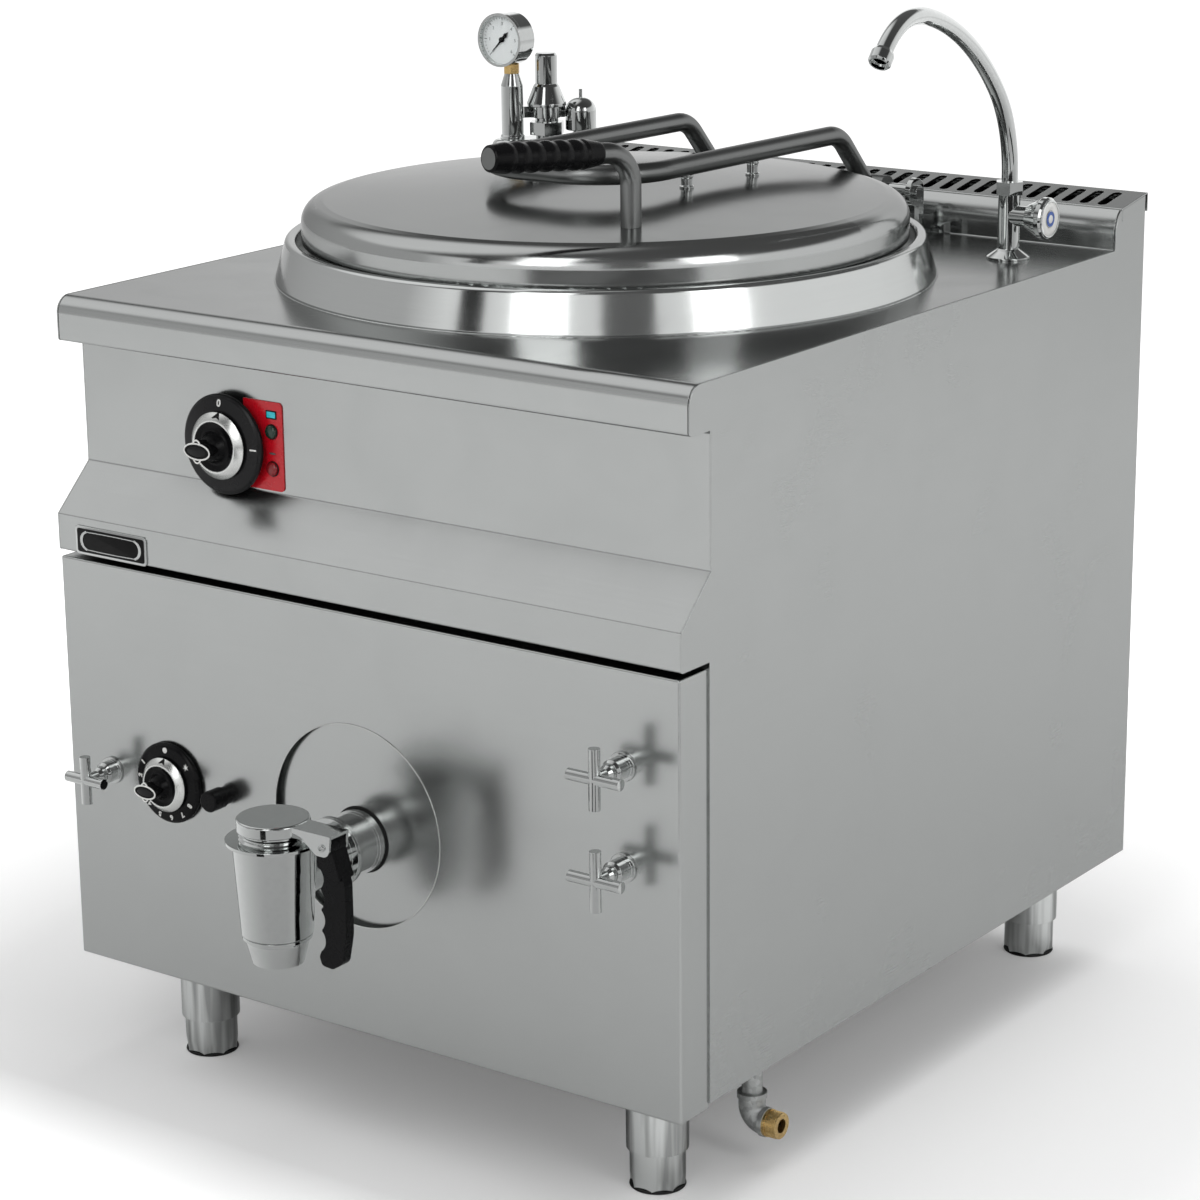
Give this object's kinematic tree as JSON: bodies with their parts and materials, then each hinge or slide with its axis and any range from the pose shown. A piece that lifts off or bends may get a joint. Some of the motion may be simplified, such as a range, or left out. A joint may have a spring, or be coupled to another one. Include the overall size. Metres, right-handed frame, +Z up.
{
  "type": "gas boiling pan",
  "caption": "Gas boiling pan: round jacketed pan with hinged lid and looped frame in a square steel cabinet, draw-off tap, swing spout, knobs and safety fittings.",
  "frame": {"origin": "on the floor, under the middle of the object's overall box", "axes": "+Z up, -Y is the front with the draw-off tap, +Y is the back with the chimney, +X is the right side seen from the front"},
  "size_m": [0.8, 1.0885, 1.1429],
  "materials": {
    "satin_steel": "satin, fine grain",
    "polished_steel": "polished sheet",
    "frame_steel": "galvanised sheet",
    "chamber_steel": "heat-tinted sheet",
    "chrome": "bright plated",
    "valve_alloy": "die-cast",
    "black_plastic": "fine matt moulding",
    "red_enamel": "gloss red",
    "lamp_plastic": "translucent lens",
    "brass": "machined",
    "galvanised_iron": "hot-dip galvanised",
    "dial_white": "matt white",
    "gauge_glass": "clear",
    "needle_black": "matt black"
  },
  "bodies": {
    "cabinet": {"worktop": "satin_steel", "chimney_cover": "satin_steel", "left_side_panel": "satin_steel", "right_side_panel": "satin_steel", "control_panel": "satin_steel", "front_panel": "satin_steel", "rear_panel": "satin_steel", "drain_recess_plate": "satin_steel", "foot_sleeves": "satin_steel", "drain_pipe": "satin_steel", "pan_collar": "polished_steel", "pan_vessel": "polished_steel", "drain_tap_body": "chrome", "faucet_body": "chrome", "jacket_taps": "chrome", "instrument_header": "chrome", "gauge_column": "chrome", "gauge_case": "chrome", "safety_valve": "chrome", "vent_bell": "chrome", "hinge_pin": "chrome", "hinge_brackets": "chrome", "base_frame": "frame_steel", "jacket_shell": "frame_steel", "combustion_chamber": "chamber_steel", "burner": "chamber_steel", "gas_control_valve": "valve_alloy", "igniter_body": "chrome", "switch_body": "black_plastic", "switch_bezel": "black_plastic", "gas_bezel": "black_plastic", "indicator_plate": "red_enamel", "indicator_lamps": "lamp_plastic", "gauge_nut": "brass", "drain_nipple": "brass", "drain_elbow": "galvanised_iron", "level_drain_pipe": "galvanised_iron", "gauge_dial": "dial_white", "gauge_lens": "gauge_glass"},
    "lid": {"lid_shell": "polished_steel", "lid_inner_plate": "polished_steel", "lid_frame": "satin_steel", "lid_standoffs": "chrome", "handle_bar": "satin_steel", "handle_grip": "black_plastic"},
    "switch_knob": {"switch_knob": "black_plastic"},
    "gas_knob": {"gas_knob": "black_plastic"},
    "igniter_button": {"igniter_button": "black_plastic"},
    "level_handle_upper": {"tap_handle_level_upper": "chrome"},
    "level_handle_lower": {"tap_handle_level_lower": "chrome"},
    "fill_handle": {"tap_handle_fill": "chrome"},
    "drain_cap": {"drain_cap": "chrome"},
    "drain_lever": {"drain_lever": "black_plastic"},
    "spout": {"faucet_spout": "chrome"},
    "faucet_handwheel": {"faucet_handwheel": "chrome"},
    "gauge_needle": {"gauge_needle": "needle_black"},
    "leveller_front_left": {"leveller_front_left": "satin_steel"},
    "leveller_front_right": {"leveller_front_right": "satin_steel"},
    "leveller_rear_left": {"leveller_rear_left": "satin_steel"},
    "leveller_rear_right": {"leveller_rear_right": "satin_steel"}
  },
  "joints": [
    {"name": "lid_hinge", "type": "hinge", "parent": "cabinet", "child": "lid", "pos_m": [0, 0.43725, 0.899], "axis": [-1, 0, 0], "range_deg": [0, 95]},
    {"name": "switch_turn", "type": "hinge", "parent": "cabinet", "child": "switch_knob", "pos_m": [-0.195, -0.33075, 0.714], "axis": [0, 1, 0], "range_deg": [0, 90]},
    {"name": "gas_turn", "type": "hinge", "parent": "cabinet", "child": "gas_knob", "pos_m": [-0.253, -0.38075, 0.3485], "axis": [0, 1, 0], "range_deg": [0, 280]},
    {"name": "igniter_press", "type": "slide", "parent": "cabinet", "child": "igniter_button", "axis": [0, 1, 0], "range_m": [0, 0.005], "stiffness_N_per_m": 1200},
    {"name": "level_tap_upper", "type": "hinge", "parent": "cabinet", "child": "level_handle_upper", "pos_m": [0.3325, -0.41675, 0.478], "axis": [0, -1, 0], "range_deg": [0, 270]},
    {"name": "level_tap_lower", "type": "hinge", "parent": "cabinet", "child": "level_handle_lower", "pos_m": [0.3325, -0.41675, 0.376], "axis": [0, -1, 0], "range_deg": [0, 270]},
    {"name": "fill_tap", "type": "hinge", "parent": "cabinet", "child": "fill_handle", "pos_m": [-0.338, -0.41175, 0.3455], "axis": [0, -1, 0], "range_deg": [0, 270]},
    {"name": "drain_lift", "type": "slide", "parent": "cabinet", "child": "drain_cap", "axis": [0, 0, 1], "range_m": [0, 0.022]},
    {"name": "drain_lever_turn", "type": "hinge", "parent": "drain_cap", "child": "drain_lever", "pos_m": [0.074, -0.49575, 0.384], "axis": [0, -1, 0], "range_deg": [0, 75]},
    {"name": "spout_swing", "type": "hinge", "parent": "cabinet", "child": "spout", "pos_m": [0.3216, 0.37095, 0.93], "axis": [0, 0, -1], "range_deg": [0, 95]},
    {"name": "faucet_turn", "type": "hinge", "parent": "cabinet", "child": "faucet_handwheel", "pos_m": [0.36, 0.37095, 0.897], "axis": [1, 0, 0], "range_deg": [0, 90]},
    {"name": "gauge_reading", "type": "hinge", "parent": "cabinet", "child": "gauge_needle", "pos_m": [-0.34499, 0.34266, 1.048], "axis": [0, 1, 0], "range_deg": [0, 270], "stiffness_Nm_per_rad": 0.0005},
    {"name": "leveller_screw_front_left", "type": "slide", "parent": "cabinet", "child": "leveller_front_left", "axis": [0, 0, -1], "range_m": [0, 0.03]},
    {"name": "leveller_screw_front_right", "type": "slide", "parent": "cabinet", "child": "leveller_front_right", "axis": [0, 0, -1], "range_m": [0, 0.03]},
    {"name": "leveller_screw_rear_left", "type": "slide", "parent": "cabinet", "child": "leveller_rear_left", "axis": [0, 0, -1], "range_m": [0, 0.03]},
    {"name": "leveller_screw_rear_right", "type": "slide", "parent": "cabinet", "child": "leveller_rear_right", "axis": [0, 0, -1], "range_m": [0, 0.03]}
  ],
  "couplings": [
    {"joint": "drain_lift", "follows": "drain_lever_turn", "m_per_rad": 0.016797}
  ]
}
